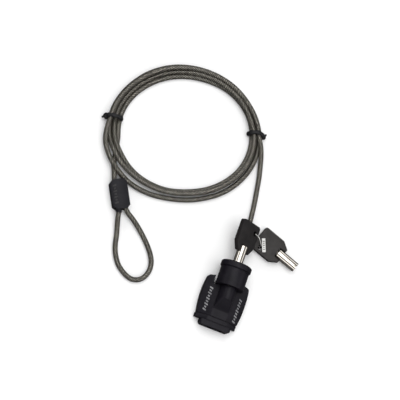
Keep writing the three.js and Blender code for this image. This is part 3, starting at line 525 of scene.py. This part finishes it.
def eased(table, step):
    """The coil's table at even headings, with monotone cubic steps between its rows."""
    rows = np.array(table, float)
    x = rows[:, 0]
    at = np.arange(x[0], x[-1] + step / 2, step)
    columns = []
    for column in (rows[:, 1], rows[:, 2]):
        h = np.diff(x)
        slope = np.diff(column) / h
        m = np.zeros(len(x))
        same = slope[:-1] * slope[1:] > 0
        w1, w2 = 2 * h[1:] + h[:-1], h[1:] + 2 * h[:-1]
        m[1:-1][same] = (w1 + w2)[same] / (w1[same] / slope[:-1][same] + w2[same] / slope[1:][same])
        m[0], m[-1] = slope[0], slope[-1]
        i = np.clip(np.searchsorted(x, at, side="right") - 1, 0, len(h) - 1)
        t = (at - x[i]) / h[i]
        columns.append(
            (2 * t**3 - 3 * t**2 + 1) * column[i] + (t**3 - 2 * t**2 + t) * h[i] * m[i]
            + (3 * t**2 - 2 * t**3) * column[i + 1] + (t**3 - t**2) * h[i] * m[i + 1]
        )
    return list(zip(at, *columns))


def in_ferrule(along, across, height=0.0):
    """A point of the object, in millimetres, from one measured in the ferrule's own frame."""
    a = math.radians(FERRULE_HEADING)
    return (
        FERRULE_MID[0] + along * math.cos(a) - across * math.sin(a),
        FERRULE_MID[1] + along * math.sin(a) + across * math.cos(a),
        FERRULE_MID[2] + height,
    )


def cable_path():
    """The middle of the cable from the flange, round the coil, through the ferrule and back into it."""
    coil = [on_oval(*row) for row in eased(COIL_ROUTE, COIL_STEP)]
    through = [in_ferrule(along, -FERRULE_BORE_OUT) for along in FERRULE_IN]
    back_in = [in_ferrule(along, FERRULE_BORE_OUT) for along in FERRULE_BACK]
    points = TAIL_ROUTE + coil + LEAD_ROUTE + through + LOOP_ROUTE + back_in
    path = smooth_path(np.array(points) * MM, RING_STEP)
    path[:, 2] = np.maximum(path[:, 2], LOW * MM)
    return path


def add_cable():
    """The cable's piece, the middle of it at each ring, and its length."""
    path = cable_path()
    length = float(np.linalg.norm(np.diff(path, axis=0), axis=1).sum())
    cable = swept("cable", path, CABLE_D / 2, CABLE_SIDES, LAY, STRANDS, STRAND_RELIEF)
    cable.data.materials.append(cable_material())
    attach(cable, "head")
    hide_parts("cable_tail", "cable_coil", "cable_lead", "cable_loop")
    return cable, path, length


# ---- rounded copies of the hard parts -----------------------------------------------------------


def rounded_copy(node, width):
    """The node's own solid with its edges really rounded, riding where the node rides and standing for it."""
    mesh = frame["nodes"][node].data.copy()
    copy = new_object(node + "_rounded", mesh)
    work = bmesh.new()
    work.from_mesh(mesh)
    bmesh.ops.remove_doubles(work, verts=work.verts, dist=MERGE)
    bmesh.ops.dissolve_limit(work, angle_limit=math.radians(FLAT), verts=work.verts, edges=work.edges)
    sharp = [e for e in work.edges if len(e.link_faces) == 2 and e.calc_face_angle(0.0) > math.radians(SHARP)]
    bmesh.ops.bevel(
        work, geom=sharp, offset=width, offset_type="OFFSET", segments=ROUND_SEGMENTS, profile=0.5,
        affect="EDGES", clamp_overlap=True, harden_normals=False,
    )
    bmesh.ops.triangulate(work, faces=[f for f in work.faces if len(f.verts) > 4])
    work.to_mesh(mesh)
    work.free()
    mesh.polygons.foreach_set("use_smooth", [True] * len(mesh.polygons))
    mesh.set_sharp_from_angle(angle=math.radians(SHARP))
    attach(copy, BODY_OF[node])
    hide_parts(node)


# ---- marks, ties and small pieces ---------------------------------------------------------------


def solid_from(name, blocks):
    """One mesh of separate closed blocks, each given as its eight corners: four below, then four above."""
    vertices, faces = [], []
    for block in blocks:
        n = len(vertices)
        vertices += [tuple(corner) for corner in block]
        faces += [tuple(n + k for k in face) for face in (
            (3, 2, 1, 0), (4, 5, 6, 7), (0, 1, 5, 4), (1, 2, 6, 5), (2, 3, 7, 6), (3, 0, 4, 7))]
    mesh = bpy.data.meshes.new(name)
    mesh.from_pydata(vertices, [], faces)
    work = bmesh.new()
    work.from_mesh(mesh)
    bmesh.ops.recalc_face_normals(work, faces=work.faces)
    bmesh.ops.bevel(work, geom=work.edges, offset=MARK_ROUND, segments=2, profile=0.5, affect="EDGES")
    work.to_mesh(mesh)
    work.free()
    mesh.update()
    return new_object(name, mesh)


def mark_row(place, row):
    """The blocks of a row of slanted bars. place gives a point from (along, across, height)."""
    pitch = row.length / row.count
    half = pitch * row.fill / 2
    blocks = []
    for k in range(row.count):
        centre = -row.length / 2 + pitch * (k + 0.5)
        share = ROW_RHYTHM[k % len(ROW_RHYTHM)]
        corners = [(-half, -share), (half, -share), (half, share), (-half, share)]
        blocks.append([
            place(centre + dx + row.slant * row.width * dy, row.width * dy, h)
            for h in (-MARK_SUNK, row.proud) for dx, dy in corners
        ])
    return blocks


def marks_piece(name, place, row, finish, body):
    """A row of bars as a piece of its own."""
    marks = solid_from(name, mark_row(place, row))
    marks.data.materials.append(finish)
    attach(marks, body)
    return marks


def wing_marks(side, finish):
    """The generic white marks along one wing's slope."""
    drop = (WING_ROOT_Z - WING_EDGE_Z) / (WING_EDGE_X - WING_ROOT_X)
    middle_x, middle_y = MARK_SPOTS[side]

    def place(along, across, height):
        x = middle_x - across
        z = WING_ROOT_Z - drop * (abs(x) - WING_ROOT_X) + height
        return (x * MM, (middle_y + along) * MM, z * MM)

    return marks_piece("wing_marks_" + side, place, WING_ROW, finish, "head")


def ferrule_marks(finish):
    """Low raised marks along the ferrule's side facet, in a lighter rubber that is a painted highlight of
    that lit facet.
    """
    def place(along, across, height):
        out = FERRULE_MARK_OUT + across
        top = FERRULE_CREST - FERRULE_FALL * abs(out) + height
        return tuple(c * MM for c in in_ferrule(along, -out, top))

    return marks_piece("ferrule_marks", place, FERRULE_ROW, finish, "head")


def tag_marks(finish):
    """Short dark marks across the paper tag."""
    low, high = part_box("key_tag")
    middle = [(low[k] + high[k]) / 2 for k in range(3)]

    def place(along, across, height):
        return (
            middle[0] + (across * math.cos(TAG_TURN) - along * math.sin(TAG_TURN)) * MM,
            middle[1] + (across * math.sin(TAG_TURN) + along * math.cos(TAG_TURN)) * MM,
            high[2] + height * MM,
        )

    return marks_piece("tag_marks", place, TAG_ROW, finish, "loop")


def neck(name, along, across, finish):
    """A tapered collar where the cable enters the ferrule."""
    share = np.linspace(0.0, 1.0, NECK_RINGS)
    path = [in_ferrule(along + NECK_REACH * t, across) for t in share]
    radii = (NECK_R - NECK_TAPER * share ** NECK_CURVE) * MM
    made = swept(name, np.array(path) * MM, radii, NECK_SIDES)
    made.data.materials.append(finish)
    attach(made, "head")
    return made


def across_coil(heading, across, height, along):
    """A point in millimetres, by its place across the bundle, outwards, and along it at a heading."""
    a = math.radians(heading)
    spot = Vector((COIL_OUTER[0] * COIL_MIDDLE * math.cos(a), COIL_OUTER[1] * COIL_MIDDLE * math.sin(a)))
    turn = math.atan2(math.sin(a) / COIL_OUTER[1], math.cos(a) / COIL_OUTER[0])
    x = spot.x + across * math.cos(turn) - along * math.sin(turn)
    y = spot.y + across * math.sin(turn) + along * math.cos(turn)
    c, s = math.cos(math.radians(COIL_HEADING)), math.sin(math.radians(COIL_HEADING))
    return (COIL_CENTRE[0] / MM + x * c - y * s, COIL_CENTRE[1] / MM + x * s + y * c, height)


def tie_band(side, fit):
    """The rippled strap over the bundle."""
    route = []
    for o, z in TIE_ROUTE:
        share = o / TIE_HALF
        along = fit.drift * max(0.0, share) ** 2
        route.append(across_coil(fit.heading, fit.middle + fit.half * share, z, along))
    strap = smooth_path(np.array(route) * MM, TIE_STEP)
    ripple = 1 + TIE_RIPPLE * np.sin(np.arange(len(strap)) * TIE_RIPPLE_RATE)
    return swept(f"tie_{side}_band", strap, TIE_R * MM * ripple, TIE_SIDES, flat=TIE_FLAT)


def tie_end(side, fit, lobe):
    """One of the strap's two ends, twisted round the other beside the bundle."""
    share = np.linspace(0.0, 1.0, TIE_KNOT_RINGS)
    angle = TIE_TWIST * share + math.pi * lobe
    start = fit.middle + fit.half - TIE_KNOT_TUCK
    reach = start + (TIE_KNOT_OUT - TIE_KNOT_SHORTER * lobe) * share
    along = fit.drift + TIE_KNOT_TURN * share + TIE_KNOT_SPREAD * np.cos(angle)
    height = TIE_KNOT_Z + TIE_KNOT_RISE * np.sin(angle)
    points = [across_coil(fit.heading, *spot) for spot in zip(reach, height, along)]
    swell = np.sin(math.pi * np.clip(share * TIE_SWELL_PLACE, 0, 1)) ** TIE_SWELL_CURVE
    radii = (TIE_END_R + TIE_SWELL * swell) * MM
    return swept(f"tie_{side}_knot_{lobe + 1}", np.array(points) * MM, radii, TIE_KNOT_SIDES)


def add_tie(side, fit, finish):
    """A soft tie round the bundle: a strap and its two twisted ends."""
    band = tie_band(side, fit)
    ends = [tie_end(side, fit, lobe) for lobe in (0, 1)]
    for piece in (band, *ends):
        piece.data.materials.append(finish)
        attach(piece, "head")
    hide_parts(f"tie_{side}_strap")
    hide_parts(f"tie_{side}_head")
    return [band, *ends]


# ---- studio -------------------------------------------------------------------------------------


def add_floor():
    """The table that the object lies on."""
    mesh = bpy.data.meshes.new("floor")
    h = FLOOR_HALF
    mesh.from_pydata([(-h, -h, 0), (h, -h, 0), (h, h, 0), (-h, h, 0)], [], [(0, 1, 2, 3)])
    mesh.materials.append(floor_material())
    new_object("floor", mesh)


def soft_light(name, place, power):
    """A large round lamp that faces the object."""
    data = bpy.data.lights.new(name, "AREA")
    data.shape = "DISK"
    data.size = LAMP_SIZE
    data.energy = power
    light = bpy.data.objects.new(name, data)
    bpy.context.scene.collection.objects.link(light)
    light.location = place
    light.rotation_mode = "QUATERNION"
    light.rotation_quaternion = (Vector(LAMP_TARGET) - Vector(place)).to_track_quat("-Z", "Y")


def add_world():
    """Bands of light round the studio, which the metals reflect as streaks."""
    world = bpy.data.worlds.new("studio")
    world.use_nodes = True
    nodes, links = world.node_tree.nodes, world.node_tree.links
    split = nodes.new("ShaderNodeSeparateXYZ")
    links.new(nodes.new("ShaderNodeTexCoord").outputs["Generated"], split.inputs[0])
    bands = nodes.new("ShaderNodeValToRGB")
    links.new(split.outputs["Z"], bands.inputs["Fac"])
    elements = bands.color_ramp.elements
    while len(elements) < len(SKY):
        elements.new(0.5)
    for element, (height, strength) in zip(elements, SKY):
        element.position = height
        element.color = (strength, strength, strength, 1.0)
    links.new(bands.outputs["Color"], nodes["Background"].inputs["Color"])
    nodes["Background"].inputs["Strength"].default_value = 1.0
    bpy.context.scene.world = world
    bpy.context.scene.view_settings.view_transform = "Standard"


# ---- scene --------------------------------------------------------------------------------------

BODY_OF = {node: body for body, nodes in frame["record"]["behaviour"]["bodies"].items() for node in nodes}
SLOT_OF = {row["node"]: row["material_slot"] for row in frame["record"]["subparts"]}

add_camera()
cable, path, length = add_cable()

finish = {name: moulded(name, *values) for name, values in MOULDED.items()}
finish.update({name: metal(name, *values) for name, values in METALS.items()})
finish["cable_strands"] = cable.data.materials[0]
for name, node in frame["nodes"].items():
    node.data.materials.clear()
    node.data.materials.append(finish[FINISH_OF_SLOT[SLOT_OF[name]]])
# the second key's bow gets the lighter copy of the bow plastic: painted light
frame["nodes"]["key_2_bow"].data.materials[0] = finish["bow_painted_light_copy"]

for name, width in ROUNDED.items():
    rounded_copy(name, width)
for side in MARK_SPOTS:
    wing_marks(side, finish["mark_white"])
tie_pieces = [piece for side, fit in TIES.items() for piece in add_tie(side, fit, finish["black_nylon"])]
on_ferrule = [
    ferrule_marks(finish["rubber_marks_painted_highlight"]),
    neck("neck_lead", FERRULE_HALF_L - NECK_SUNK, -FERRULE_BORE_OUT, finish["black_rubber"]),
]
tag_marks(finish["black_rubber"])

[tuple(p) for p in path[::ROUTE_SKIP]]

add_floor()
for name, (place, power) in LAMPS.items():
    soft_light(name, place, power)
add_world()
